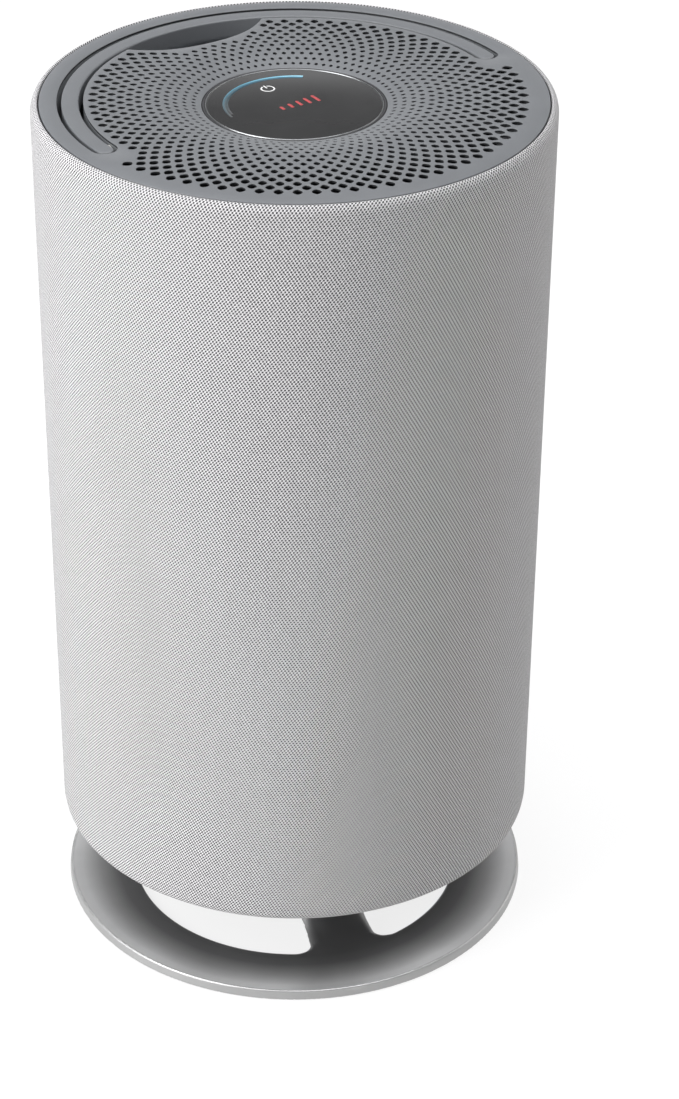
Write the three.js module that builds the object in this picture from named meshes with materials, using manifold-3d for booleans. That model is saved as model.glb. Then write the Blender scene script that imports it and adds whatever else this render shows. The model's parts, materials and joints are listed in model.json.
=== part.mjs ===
// Round tower air purifier: fabric-wrapped drum on a three-legged ring stand.
// Millimetres, +Z up, origin on the floor under the drum's centre line.
// The front is -Y; the carry handle lies at the rear (+Y) and swings up about X.

import * as THREE from 'three';
import { mergeVertices } from 'three/addons/utils/BufferGeometryUtils.js';
import Module from 'manifold-3d';

const wasm = await Module();
wasm.setup();

// ------------------------------------------------------------ driving sizes
const HEIGHT = 635;            // floor to the flat top plate
const R_TOP = 177.8;           // sleeve radius near the top (356 mm across)
const TAPER = 3.6 / 632;       // the drum narrows 3.6 mm towards the floor
const SLEEVE_T = 2.0;          // knitted sleeve on its carrier sheet
const CAGE_GAP = 2.5;          // sleeve outside to cage outside

const PLATE_T = 3;             // top grille plate
const PLATE_R = 171.9;         // plate edge, 1.2 mm from the sleeve's lip
const DISH_R = 95;             // the plate dips inside this radius ...
const DISH_DEPTH = 5.5;        // ... by this much at the control panel
const PANEL_HOLE_R = 62.6;

const HANDLE_R = 150.85;       // handle centre line
const HANDLE_W = 12.5;
const HANDLE_Z0 = 618;
const HANDLE_Z1 = 634.7;
const PIVOT_Z = 628;
const PIN_R = 2.0;
const SLOT_W = 17.7;           // groove in the plate around the handle
const SLOT_END_Y = -16.4;      // apex of the groove's round ends
const HANDLE_END_Y = -14.6;    // apex of the handle's round ends
const WELL_FLOOR = 609;

const STAND_R = 172.7;         // stand ring outside
const STAND_IN_R = 121.5;       // stand ring inside
const LEG_ANGLES = [-103, 17, 137];
const TWIST = 20;              // bayonet travel, degrees
const LUG_ANGLES = [-90, 30, 150];

const N_OUT = 48;              // facets on the large rings
const N_MID = 36;
const N_IN = 24;

const drumR = (z) => R_TOP + TAPER * (z - 632);
const rad = (d) => d * Math.PI / 180;

// ------------------------------------------------------------ solid helpers
// One closed body from a three.js geometry: merged corners, no slivers, faces out.
function toSolid(geometry) {
  const g = geometry.clone();
  for (const k of Object.keys(g.attributes)) if (k !== 'position') g.deleteAttribute(k);
  let m = mergeVertices(g, 1e-4);
  const p = m.attributes.position.array;
  const idx = m.index.array;
  const tri = [];
  let vol = 0;
  for (let i = 0; i < idx.length; i += 3) {
    const [a, b, c] = [idx[i], idx[i + 1], idx[i + 2]];
    if (a === b || b === c || a === c) continue;
    tri.push(a, b, c);
    const A = new THREE.Vector3().fromArray(p, a * 3);
    const B = new THREE.Vector3().fromArray(p, b * 3);
    const C = new THREE.Vector3().fromArray(p, c * 3);
    vol += A.dot(B.cross(C)) / 6;
  }
  if (vol < 0) for (let i = 0; i < tri.length; i += 3) [tri[i + 1], tri[i + 2]] = [tri[i + 2], tri[i + 1]];
  return new wasm.Manifold(new wasm.Mesh({
    numProp: 3, vertProperties: new Float32Array(p), triVerts: new Uint32Array(tri),
  })).asOriginal();
}

// A turned part: [radius, z] points around a closed section, or from axis to axis.
function turned(profile, n = N_IN, closed = true) {
  const pts = profile.map(([r, z]) => new THREE.Vector2(r, z));
  if (closed) pts.push(pts[0].clone());
  const g = new THREE.LatheGeometry(pts, n);
  g.rotateX(Math.PI / 2);
  return toSolid(g);
}
const tube = (r0, r1, z0, z1, n = N_IN) => turned([[r0, z0], [r1, z0], [r1, z1], [r0, z1]], n);
const disc = (r, z0, z1, n = N_IN) => turned([[0, z0], [r, z0], [r, z1], [0, z1]], n, false);

function prism(shape, z0, z1, curveSegments = 12) {
  const g = new THREE.ExtrudeGeometry(shape, { depth: z1 - z0, bevelEnabled: false, curveSegments });
  g.translate(0, 0, z0);
  return toSolid(g);
}
const polygon = (pts) => new THREE.Shape(pts.map(([x, y]) => new THREE.Vector2(x, y)));

function block(x0, x1, y0, y1, z0, z1) {
  const g = new THREE.BoxGeometry(x1 - x0, y1 - y0, z1 - z0);
  g.translate((x0 + x1) / 2, (y0 + y1) / 2, (z0 + z1) / 2);
  return toSolid(g);
}
function rod(x, y, r, z0, z1, n = 16) {
  const g = new THREE.CylinderGeometry(r, r, z1 - z0, n);
  g.rotateX(Math.PI / 2);
  g.translate(x, y, (z0 + z1) / 2);
  return toSolid(g);
}
function rodX(x0, x1, y, z, r, n = 16) {
  const g = new THREE.CylinderGeometry(r, r, Math.abs(x1 - x0), n);
  g.rotateZ(Math.PI / 2);
  g.translate((x0 + x1) / 2, y, z);
  return toSolid(g);
}
// points on an arc, degrees, both ends included
function arcPts(r, a0, a1, n) {
  const out = [];
  for (let i = 0; i <= n; i++) {
    const a = rad(a0 + (a1 - a0) * i / n);
    out.push([r * Math.cos(a), r * Math.sin(a)]);
  }
  return out;
}
const sector = (r0, r1, a0, a1, z0, z1, n = 12) =>
  prism(polygon([...arcPts(r1, a0, a1, n), ...arcPts(r0, a1, a0, n)]), z0, z1);

// ------------------------------------------------------------ scene helpers
const group = new THREE.Group();
function add(name, solid, color, roughness, metalness = 0) {
  const mesh = solid.asOriginal().simplify(0.02).getMesh();
  const g = new THREE.BufferGeometry();
  g.setAttribute('position', new THREE.BufferAttribute(new Float32Array(mesh.vertProperties), 3));
  g.setIndex(new THREE.BufferAttribute(new Uint32Array(mesh.triVerts), 1));
  const m = new THREE.Mesh(g, new THREE.MeshStandardMaterial({ color, roughness, metalness }));
  m.name = name;
  group.add(m);
  return m;
}

// ================================================================= STAND
// Cast ring with a low lip, three arms that rise like a trumpet to a hub.
const standRing = turned([
  [STAND_IN_R + 1.2, 1.2], [149.4, 1.2], [149.4, 2.6], [163.6, 2.6], [163.6, 1.2],
  [STAND_R, 1.2], [STAND_R, 7.9], [STAND_R - 0.8, 8.6],
  [160, 6.3], [147, 4.6], [134, 3.8], [124, 3.8], [STAND_IN_R, 3.0],
], N_OUT);
const legTop = [[132, 3.7], [124, 4.4], [116, 6.4], [105, 10.4], [95, 15.0], [84, 21.5], [70, 31.5], [55, 43.5], [42, 52.0], [31, 57.0], [20, 58.6]];
const legBottom = [[132, 1.2], [122, 1.2], [114, 1.4], [105, 3.2], [95, 6.8], [84, 12.5], [70, 22.0], [55, 33.5], [42, 42.5], [31, 47.5], [20, 49.0]];
function tableZ(t, r) {
  for (let i = 0; i < t.length - 1; i++) {
    if (r <= t[i][0] && r >= t[i + 1][0]) {
      const f = (t[i][0] - r) / (t[i][0] - t[i + 1][0]);
      return t[i][1] + f * (t[i + 1][1] - t[i][1]);
    }
  }
  return t[t.length - 1][1];
}
function legHalfWidth(r) {
  const flare = Math.min(1, Math.max(0, (r - 103) / 16));
  return 24.5 + 2.0 * Math.min(1, Math.max(0, (r - 50) / 45)) + 15 * (1 - Math.sqrt(1 - flare * flare));
}
const legStations = [129, 120, 112, 103, 90, 68, 44, 20];
function leg(angle) {
  const nl = legStations.length - 1;
  const g = new THREE.BoxGeometry(1, 1, 1, nl, 4, 1);
  const p = g.attributes.position;
  for (let i = 0; i < p.count; i++) {
    const k = Math.round((p.getX(i) + 0.5) * nl);
    const v = p.getY(i) * 2;                       // -1 .. 1 across the arm
    const r = legStations[k];
    const w = legHalfWidth(Math.min(r, 119));
    const z = p.getZ(i) > 0
      ? tableZ(legTop, r) - (r > 120 ? 1.2 : 3.6) * Math.abs(v) ** 2.4
      : tableZ(legBottom, r);
    p.setXYZ(i, r, v * w, z);
  }
  g.rotateZ(rad(angle));
  return toSolid(g);
}
let stand = standRing.add(turned([
  [0, 45.5], [26, 45.5], [33, 49], [33.5, 56.5], [31, 59.4], [29.5, 60.2], [0, 60.2],
], N_IN, false));
for (const a of LEG_ANGLES) stand = stand.add(leg(a));
const SCREW_ANGLES = LEG_ANGLES.map((a) => a + 60);
const SCREW_PCR = 18;
for (const a of SCREW_ANGLES) {
  stand = stand.subtract(rod(SCREW_PCR * Math.cos(rad(a)), SCREW_PCR * Math.sin(rad(a)), 2.4, 40, 65, 12));
}
add('stand', stand, 0xb4b5b8, 0.34, 0.9);
add('foot_ring', tube(150, 163, 0, 2.3, N_OUT), 0x2b2b2d, 0.9);
SCREW_ANGLES.forEach((a, i) => {
  const s = turned([[0, 41.9], [2.9, 41.9], [3.8, 42.9], [3.8, 45.1], [2.0, 45.1], [2.0, 66], [0, 66]], 10, false);
  add(`stand_screw_${i + 1}`, s.translate([SCREW_PCR * Math.cos(rad(a)), SCREW_PCR * Math.sin(rad(a)), 0]), 0x8c8e92, 0.35, 1);
});

// ================================================================= FILTER COVER
// Round bottom door, screwed to the stand's hub, locked by three bayonet lugs.
let cover = turned([
  [0, 60.5], [138.6, 60.5], [140, 61.9], [140, 63.6], [134.2, 63.6], [134.2, 74], [131.2, 74], [131.2, 63.7], [0, 63.7],
], N_MID, false);
for (const a of LUG_ANGLES) cover = cover.add(sector(132.5, 138.4, a - 8, a + 8, 67.4, 70.6, 4));
for (const a of SCREW_ANGLES) {
  const [x, y] = [SCREW_PCR * Math.cos(rad(a)), SCREW_PCR * Math.sin(rad(a))];
  cover = cover.add(rod(x, y, 6, 62, 68.4, 16)).subtract(rod(x, y, 2.4, 58, 67.2, 12));
}
add('filter_cover', cover, 0x6f7074, 0.6);

// ================================================================= BASE RING
let base = turned([
  [136.6, 64], [154.5, 64], [165.8, 71.6], [165.8, 84], [161, 84], [161, 73], [153.4, 67], [136.6, 67],
], N_OUT);
for (const a of LUG_ANGLES) base = base.subtract(sector(130, 139.5, a + TWIST - 9.5, a + TWIST + 9.5, 62, 69, 4));
const INLET_Y = 151;
const INLET_BAY = 24; // half width of the ring's open bay for the mains inlet
base = base.subtract(block(-INLET_BAY, INLET_BAY, 120, INLET_Y + 8.4, 60, 76));
add('base_ring', base, 0x66676b, 0.65);

// Figure-eight mains socket, mouth down, with its two pins.
let inlet = block(-12.1, 12.1, INLET_Y - 7.7, INLET_Y + 7.7, 64.4, 85)
  .add(block(-INLET_BAY + 0.3, INLET_BAY - 0.3, INLET_Y - 7.9, INLET_Y + 8.1, 64.4, 66.6));
inlet = inlet.add(sector(139, 147, 90 - 9.2, 90 + 9.2, 64.4, 66.6, 4));
inlet = inlet.subtract(rod(-4, INLET_Y, 4.4, 60, 80, 16)).subtract(rod(4, INLET_Y, 4.4, 60, 80, 16))
  .subtract(block(-4, 4, INLET_Y - 3.6, INLET_Y + 3.6, 60, 80));
inlet = inlet.subtract(rod(-4.3, INLET_Y, 1.5, 60, 83.5, 10)).subtract(rod(4.3, INLET_Y, 1.5, 60, 83.5, 10));
add('power_inlet', inlet, 0x1c1c1e, 0.5);
add('inlet_pin_1', rod(-4.3, INLET_Y, 1.2, 68, 83.1, 10), 0xc8a951, 0.3, 1);
add('inlet_pin_2', rod(4.3, INLET_Y, 1.2, 68, 83.1, 10), 0xc8a951, 0.3, 1);

// ================================================================= CAGE AND SLEEVE
// Rigid inner cage: ribs and hoops below, closed wall around the fan.
const co = (z) => drumR(z) - CAGE_GAP;
const ci = (z) => co(z) - 3.5;
let cage = turned([
  [161.3, 84.4], [co(84.4), 84.4], [co(589.6), 589.6], [ci(589.6), 589.6],
  [ci(414), 414], [162, 413.6], [162, 410.6], [ci(404), 404],
  [ci(88), 88], [161.3, 87.4],
], N_OUT);
for (const [z0, z1] of [[100, 240], [256, 396]]) {
  for (let k = 0; k < 3; k++) {
    const w = block(-200, 200, -74, 74, z0, z1).rotate([0, 0, 60 * k + 30]);
    cage = cage.subtract(w);
  }
}
add('inner_cage', cage, 0x2a2a2c, 0.6);

// Knitted sleeve: tapered tube, rolled in over the top edge and under the bottom.
add('fabric_sleeve', turned([
  [166.6, 73], [170.6, 73.4], [173.4, 75.7], [drumR(80.5), 80.5],
  [drumR(628), 628], [176.9, 632.4], [174.6, 634.7], [173.1, 635],
  [173.1, 632.6], [175.7, 628],
  [drumR(80.5) - SLEEVE_T, 80.5], [170.4, 75.9], [166.6, 75],
], N_OUT), 0xc9c8c5, 0.95);

// Upper chassis: carries the fan housing's top and the top grille.
add('upper_chassis', turned([
  [139.6, 590], [co(590), 590], [co(627), 627], [172.2, 631.6], [163.2, 631.6], [163.2, 628.6],
  [170.4, 628.4], [170.4, 593], [139.6, 593],
], N_OUT), 0x8a8c90, 0.6);

// ================================================================= TOP GRILLE
const dishZ = (r) => r >= DISH_R ? HEIGHT : HEIGHT - DISH_DEPTH * ((DISH_R - r) / (DISH_R - 62.5)) ** 1.5;
const rs = [PANEL_HOLE_R, 72, 83, DISH_R];
let grille = turned([
  ...rs.map((r) => [r, dishZ(r)]), [PLATE_R - 0.4, HEIGHT], [PLATE_R, HEIGHT - PLATE_T],
  ...rs.slice().reverse().map((r) => [r, dishZ(r) - PLATE_T]),
], N_OUT);

// Groove outline: half ring with round ends, in plan.
function arcBar(rc, w, endY, segs, endSegs) {
  const h = w / 2;
  const yc = endY + h;                            // centre of the round ends
  const a0 = Math.asin(yc / rc) * 180 / Math.PI;
  const pts = arcPts(rc + h, a0, 180 - a0, segs);
  const cx = rc * Math.cos(rad(a0));
  for (let i = 1; i < endSegs; i++) {              // left end
    const a = Math.PI - Math.PI * i / endSegs;
    pts.push([-cx - h * Math.cos(Math.PI - a), yc - h * Math.sin(a)]);
  }
  pts.push(...arcPts(rc - h, 180 - a0, a0, segs));
  for (let i = 1; i < endSegs; i++) {              // right end
    const a = Math.PI * i / endSegs;
    pts.push([cx - h * Math.cos(a), yc - h * Math.sin(a)]);
  }
  return polygon(pts);
}
// Finger scoop outline: a smooth bump inside the handle at the rear.
const scoopHalf = [[54.5, 132.6], [50.6, 129.4], [46.4, 125.6], [41.4, 121.6], [34.8, 118.0], [25.6, 114.6], [13.4, 112.3], [0, 111.5]];
function scoopShape(grow = 0) {
  const left = scoopHalf.map(([x, y]) => [-x - grow * Math.min(1, x / 25), y - grow * (x > 50 ? 0.3 : 1)]);
  const right = left.slice(0, -1).reverse().map(([x, y]) => [-x, y]);
  const curve = new THREE.CatmullRomCurve3([...left, ...right].map(([x, y]) => new THREE.Vector3(x, y, 0)));
  const bump = curve.getPoints(18).map((v) => [v.x, v.y]);
  return polygon([[-57 - grow, 140], ...bump, [57 + grow, 140], [40, 148], [0, 151], [-40, 148]]);
}
const slot = prism(arcBar(HANDLE_R, SLOT_W, SLOT_END_Y, 28, 6), 600, 645);
grille = grille.subtract(slot).subtract(prism(scoopShape(), 600, 645));
// Air holes: staggered rings of diamonds that grow outwards.
const holeRings = [[77, 10], [98, 13], [120, 16], [145, 18]];
const HOLES = 18;
let cutters = null;
holeRings.forEach(([r, d], j) => {
  for (let k = 0; k < HOLES; k++) {
    const deg = (k + (j % 2) / 2) * 360 / HOLES;
    const a = ((deg % 360) + 360) % 360;
    const overHandle = r > 128 && (a < 200 || a > 340);
    const overScoop = r > 95 && a > 62 && a < 118;
    if (overHandle || overScoop) continue;
    const [c, s] = [Math.cos(rad(deg)), Math.sin(rad(deg))];
    const pt = (u, v) => [(r + u) * c - v * s, (r + u) * s + v * c];
    const hole = prism(polygon([pt(-d * 0.5, 0), pt(0, d * 0.42), pt(d * 0.5, 0), pt(0, -d * 0.42)].reverse()), 615, 645);
    cutters = cutters ? cutters.add(hole) : hole;
  }
});
grille = grille.subtract(cutters);
add('top_grille', grille, 0x878a8f, 0.5);

// Handle well: the tray under the groove and scoop, with the pivot walls.
let well = prism(polygon([...arcPts(162.6, -8.2, 188.2, 28), ...arcPts(139.5, 188.2, -8.2, 28)]), WELL_FLOOR - 2.5, 631.7)
  .add(prism(scoopShape(2.4), WELL_FLOOR - 2.5, 631.7));
const wellInside = prism(polygon([...arcPts(160.2, -7.2, 187.2, 28), ...arcPts(141.9, 187.2, -7.2, 28)]), WELL_FLOOR, 640)
  .add(prism(scoopShape(), WELL_FLOOR, 640));
well = well.subtract(wellInside);
for (const s of [-1, 1]) {
  well = well.subtract(rodX(s * 138, s * 164, 0, PIVOT_Z, PIN_R + 0.35, 12));
}
add('handle_well', well, 0x7c7f84, 0.6);

// ================================================================= CARRY HANDLE
const hi = HANDLE_R - HANDLE_W / 2;
const ho = HANDLE_R + HANDLE_W / 2;
let handle = turned([
  [hi, 623.5], [hi + 1.6, 619.7], [hi + 5, HANDLE_Z0], [ho - 5, HANDLE_Z0], [ho - 1.6, 619.7], [ho, 623.5],
  [ho, 633.9], [ho - 0.8, HANDLE_Z1], [hi + 2.6, HANDLE_Z1], [hi + 0.7, 633.7], [hi, 631.5],
], N_OUT);
handle = handle.intersect(prism(arcBar(HANDLE_R, HANDLE_W + 1.4, HANDLE_END_Y, 28, 6), 600, 640));
for (const s of [-1, 1]) handle = handle.subtract(rodX(s * 140, s * 162, 0, PIVOT_Z, PIN_R + 0.35, 12));
add('carry_handle', handle, 0x878a8f, 0.5);
for (const [s, side] of [[-1, 'left'], [1, 'right']]) {
  add(`handle_pin_${side}`, rodX(s * 140, s * 162.2, 0, PIVOT_Z, PIN_R, 12), 0xb9bbbe, 0.3, 1);
  add(`handle_bush_${side}`, rodX(s * 142.2, s * 143.9, 0, PIVOT_Z, 4.4, 12)
    .subtract(rodX(s * 141, s * 146, 0, PIVOT_Z, PIN_R + 0.35, 12)), 0xe4e2da, 0.5);
}

// ================================================================= CONTROL PANEL
add('panel_bezel', turned([
  [59.9, 618], [62.2, 618], [62.2, 629.2], [61.8, 629.6], [60.2, 629.6], [59.9, 629.3],
], N_IN), 0x2c2d30, 0.35);
add('panel_glass', turned([[0, 627.3], [59.4, 627.3], [59.4, 629.1], [59.0, 629.5], [0, 629.5]], N_IN, false), 0x3a3b3d, 0.12);
let cup = turned([[0, 600], [59.5, 600], [59.5, 627], [57, 627], [57, 602.5], [0, 602.5]], N_IN, false);
for (const a of [30, 150, 270]) cup = cup.add(rod(46 * Math.cos(rad(a)), 46 * Math.sin(rad(a)), 3, 601, 611.7, 10));
add('panel_cup', cup.subtract(rod(22, 0, 4, 595, 605, 12)), 0x2f3033, 0.6);
add('control_board', disc(53.5, 612, 613.6, N_IN), 0x1d5a38, 0.55);
add('light_guide', sector(45.6, 48.6, 51, 177, 614, 627, 21), 0xbfe2f2, 0.3);
add('touch_pad', rod(-1.9, 31.2, 7, 614, 627, 14), 0x1f1f20, 0.8);

// ================================================================= FAN
add('fan_deck', tube(84, 169.4, 414.2, 418, N_OUT).subtract(rod(0, 155, 4.5, 410, 422, 12)), 0xd8d8d6, 0.6);
add('inlet_bellmouth', turned([
  [118, 418.3], [118, 421], [100, 421.4], [88, 424.7], [79, 431.2], [75.2, 440], [73, 440], [76.5, 430], [84.5, 422.6], [94, 418.3],
], N_IN), 0x3a3b3e, 0.5);
add('fan_housing', turned([
  [136, 418.3], [150, 418.3], [150, 421.3], [139, 421.3], [139, 589.6], [136, 589.6],
], N_MID), 0x46474a, 0.6);

let impeller = turned([
  [4.3, 476], [13, 476], [13, 487], [40, 490.5], [117, 492.3], [117, 495], [14, 495], [12, 500], [4.3, 500],
], N_IN).add(turned([[77, 443.5], [80, 443.5], [96, 450], [117, 454], [117, 456.2], [95, 452.4], [77, 446]], N_IN));
const BLADES = 7;
for (let k = 0; k < BLADES; k++) {
  const side = [1.1, -1.1].map((t) => [0, 1, 2, 3].map((i) => {
    const r = 72 + 44 * i / 3;
    const a = rad(360 * k / BLADES - 12 * i);
    return [r * Math.cos(a) - t * Math.sin(a + 0.9), r * Math.sin(a) + t * Math.cos(a + 0.9)];
  }));
  const outline = [...side[1], ...side[0].slice().reverse()];
  impeller = impeller.add(prism(polygon(outline), 445.2, 493)
    .subtract(turned([[60, 440], [77, 440], [77, 444.2], [96, 451.2], [125, 455.4], [125, 440]], N_IN)));
}
add('impeller', impeller, 0x2e3e4c, 0.5);
add('impeller_nut', disc(8, 468, 475.7, 6).subtract(rod(0, 0, 4.4, 460, 480, 12)), 0xa0a2a6, 0.35, 1);
add('motor_shaft', disc(4, 464, 572, 12), 0xc4c6ca, 0.25, 1);
add('motor_can', turned([
  [9, 503], [47, 503], [47, 562], [44.9, 562], [44.9, 505.7], [9, 505.7],
], N_IN), 0x9b9da1, 0.4, 1);
add('bearing_lower', tube(4.5, 11, 506, 513, 12), 0xc0c2c6, 0.3, 1);
add('bearing_upper', tube(4.5, 11, 555.6, 562.5, 12), 0xc0c2c6, 0.3, 1);
add('motor_rotor', tube(4.5, 24.2, 518, 550, 24), 0x5a5b60, 0.5, 1);
let stator = tube(25.4, 44.4, 516, 552, N_IN);
for (let k = 0; k < 9; k++) stator = stator.subtract(block(30, 40, -3.2, 3.2, 510, 560).add(block(20, 31, -1, 1, 510, 560)).rotate([0, 0, 40 * k]));
add('motor_windings', stator, 0xb26a35, 0.45, 0.4);
const MOTOR_SCREWS = [30, 150, 270];
let endCap = turned([
  [11.6, 557.5], [44.4, 557.5], [44.4, 561.5], [14.5, 561.5], [14.5, 564.6], [11.6, 564.6],
], N_IN);
let vanes = turned([
  [12, 566], [57, 566], [57, 540], [60, 540], [60, 599.6], [57, 599.6], [57, 569], [12, 569],
], N_IN).add(tube(132.6, 135.4, 560, 592, N_MID));
for (let k = 0; k < 7; k++) {
  const a0 = 360 * k / 7 + 5;
  const side = [1, -1].map((t) => [0, 1, 2].map((i) => {
    const r = 58.5 + 75.3 * i / 2;
    const a = rad(a0 + 9 * i);
    return [r * Math.cos(a) - t * Math.sin(a - 0.35), r * Math.sin(a) + t * Math.cos(a - 0.35)];
  }));
  vanes = vanes.add(prism(polygon([...side[1], ...side[0].slice().reverse()]), 564, 590));
}
MOTOR_SCREWS.forEach((a, i) => {
  const [x, y] = [30 * Math.cos(rad(a)), 30 * Math.sin(rad(a))];
  endCap = endCap.subtract(rod(x, y, 1.9, 550, 565, 10));
  vanes = vanes.subtract(rod(x, y, 1.9, 560, 572, 10));
  const s = turned([[0, 556.4], [1.5, 556.4], [1.5, 569.3], [3, 569.3], [2.6, 571.6], [0, 571.6]], 10, false);
  add(`motor_screw_${i + 1}`, s.translate([x, y, 0]), 0x9a9ca0, 0.35, 1);
});
add('motor_end_cap', endCap, 0x9b9da1, 0.4, 1);
add('guide_vanes', vanes, 0x46474a, 0.6);

// ================================================================= FILTER
const pleats = [];
for (let k = 0; k < 72; k++) {
  const r = k % 2 ? 112 : 121;
  pleats.push([r * Math.cos(rad(5 * k)), r * Math.sin(rad(5 * k))]);
}
const media = polygon(pleats);
media.holes.push(new THREE.Path(arcPts(79, 360, 0, 24).slice(0, -1).map(([x, y]) => new THREE.Vector2(x, y))));
add('filter_media', prism(media, 80.4, 397.6), 0xf1f1ec, 0.9);
add('carbon_layer', tube(72.5, 77.5, 80.4, 397.6), 0x252525, 0.95);
add('prefilter_mesh', tube(122.7, 123.6, 80.4, 397.6), 0xdcdcd8, 0.9);
add('filter_cap_bottom', turned([[0, 76.5], [127, 76.5], [127, 92], [124.6, 92], [124.6, 80], [0, 80]], N_IN, false), 0x3b3c3f, 0.6);
add('filter_cap_top', turned([[66, 398], [124.6, 398], [124.6, 386], [127, 386], [127, 402], [66, 402]], N_IN), 0x3b3c3f, 0.6);
add('filter_gasket', tube(95, 115, 402.4, 413.8), 0x1f1f1f, 0.95);
const tabShape = polygon([[-28, 76.2], [-28, 75], [-18, 75], [-12, 70.4], [12, 70.4], [18, 75], [28, 75], [28, 76.2], [17.4, 76.2], [11.4, 71.6], [-11.4, 71.6], [-17.4, 76.2]].reverse());
const tabGeo = new THREE.ExtrudeGeometry(tabShape, { depth: 18, bevelEnabled: false });
tabGeo.translate(0, 0, -9);
tabGeo.rotateX(Math.PI / 2);
add('filter_pull_tab', toSolid(tabGeo), 0x24364a, 0.9);

// ================================================================= ELECTRICS
let board = block(-40, 40, 154, 155.6, 432, 540)
  .add(block(-30, -4, 155, 166, 446, 478)).add(block(4, 30, 155, 164, 470, 500)).add(block(-32, 30, 155, 160, 512, 530));
add('power_board', board, 0x1d5a38, 0.55);
add('dust_sensor', block(-167, -154, -20, 20, 440, 482), 0x2a2a2c, 0.6);
const leadPath = new THREE.CatmullRomCurve3([[0, 151, 85.4], [0, 151.6, 105], [0, 154.2, 150], [0, 155, 200], [0, 155, 300], [0, 155, 380], [0, 155, 431.6]]
  .map((v) => new THREE.Vector3(...v)));
const lead = new THREE.ExtrudeGeometry(polygon(arcPts(3, 0, 315, 7)), { steps: 14, extrudePath: leadPath, bevelEnabled: false });
add('mains_lead', toSolid(lead), 0x161616, 0.7);

export default group;
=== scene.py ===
import bpy
import bmesh
import json
import math
import numpy as np
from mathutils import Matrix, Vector
from mathutils.geometry import delaunay_2d_cdt


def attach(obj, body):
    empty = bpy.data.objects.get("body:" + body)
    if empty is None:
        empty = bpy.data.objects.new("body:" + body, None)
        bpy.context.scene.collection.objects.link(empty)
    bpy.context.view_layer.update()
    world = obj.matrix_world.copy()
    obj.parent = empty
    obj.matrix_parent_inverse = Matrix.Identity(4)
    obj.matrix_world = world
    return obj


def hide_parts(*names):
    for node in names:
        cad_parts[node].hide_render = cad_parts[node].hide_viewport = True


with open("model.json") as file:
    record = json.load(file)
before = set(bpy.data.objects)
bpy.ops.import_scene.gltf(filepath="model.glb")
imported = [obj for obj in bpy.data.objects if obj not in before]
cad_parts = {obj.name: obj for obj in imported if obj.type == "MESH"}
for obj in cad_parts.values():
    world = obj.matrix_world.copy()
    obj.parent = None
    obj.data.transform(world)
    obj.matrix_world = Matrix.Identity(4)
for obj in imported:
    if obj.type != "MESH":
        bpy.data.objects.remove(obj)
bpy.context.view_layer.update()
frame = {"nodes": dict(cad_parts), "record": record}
NODES = frame["nodes"]
MM = 0.001
TAU = 2 * math.pi

# ---------------------------------------------------------------- sizes, mm
R_TOP, TAPER = 177.8, 3.6 / 632
HANDLE_R, HANDLE_W, PIVOT_Z = 150.85, 12.5, 628.0
TOP = 635.0


def drum_r(z):
    return R_TOP + TAPER * (z - 632)


# ---------------------------------------------------------------- mesh helpers
def make(name, verts, faces, uvs=None, sharp_deg=35.0, normals=None):
    """A mesh object from points in mm and faces; uvs is one pair per vertex or per corner."""
    me = bpy.data.meshes.new(name)
    v = np.asarray(verts, float) * MM
    me.from_pydata([tuple(p) for p in v], [], [tuple(int(i) for i in f) for f in faces])
    me.update()
    if uvs is not None:
        layer = me.uv_layers.new(name="UVMap")
        uvs = np.asarray(uvs, float)
        if len(uvs) == len(v):
            idx = np.zeros(len(me.loops), int)
            me.loops.foreach_get("vertex_index", idx)
            uvs = uvs[idx]
        layer.data.foreach_set("uv", uvs.astype(np.float32).ravel())
    ob = bpy.data.objects.new(name, me)
    bpy.context.scene.collection.objects.link(ob)
    for p in me.polygons:
        p.use_smooth = True
    if sharp_deg is not None:
        me.set_sharp_from_angle(angle=math.radians(sharp_deg))
    if normals is not None:
        me.normals_split_custom_set_from_vertices([tuple(n) for n in normals])
    return ob


def lathe(name, profile, n=192, closed=True, sharp_deg=32.0, arc_v=True):
    """Turned piece from [radius, z] in mm, counter-clockwise section seen with r to the right."""
    prof = [tuple(p) for p in profile]
    m = len(prof)
    s = [0.0]
    for a, b in zip(prof, prof[1:] + prof[:1]):
        s.append(s[-1] + math.hypot(b[0] - a[0], b[1] - a[1]))
    verts, rows = [], []
    for r, z in prof:
        if r < 1e-6:
            rows.append([len(verts)] * n)
            verts.append((0, 0, z))
        else:
            rows.append(list(range(len(verts), len(verts) + n)))
            for k in range(n):
                a = TAU * k / n
                verts.append((r * math.cos(a), r * math.sin(a), z))
    faces, uvs = [], []
    for j in range(m if closed else m - 1):
        p, q = rows[j], rows[(j + 1) % m]
        for k in range(n):
            k2 = (k + 1) % n
            f = [p[k], p[k2], q[k2], q[k]]
            u = [(k / n, s[j]), ((k + 1) / n, s[j]), ((k + 1) / n, s[j + 1]), (k / n, s[j + 1])]
            keep = [i for i in range(4) if f[i] != f[i - 1]]
            if len(keep) < 3:
                continue
            faces.append([f[i] for i in keep])
            uvs.extend([(u[i][0], u[i][1] * MM) for i in keep])
    ob = make(name, verts, faces, uvs=uvs, sharp_deg=sharp_deg)
    return fix_out(ob)


def fix_out(ob):
    """Turns a closed mesh's faces outwards if its volume is negative."""
    bm = bmesh.new()
    bm.from_mesh(ob.data)
    if bm.calc_volume(signed=True) < 0:
        bmesh.ops.reverse_faces(bm, faces=bm.faces)
        bm.to_mesh(ob.data)
    bm.free()
    return ob


def arc(r, a0, a1, n):
    return [(r * math.cos(math.radians(a0 + (a1 - a0) * i / n)), r * math.sin(math.radians(a0 + (a1 - a0) * i / n))) for i in range(n + 1)]


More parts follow.
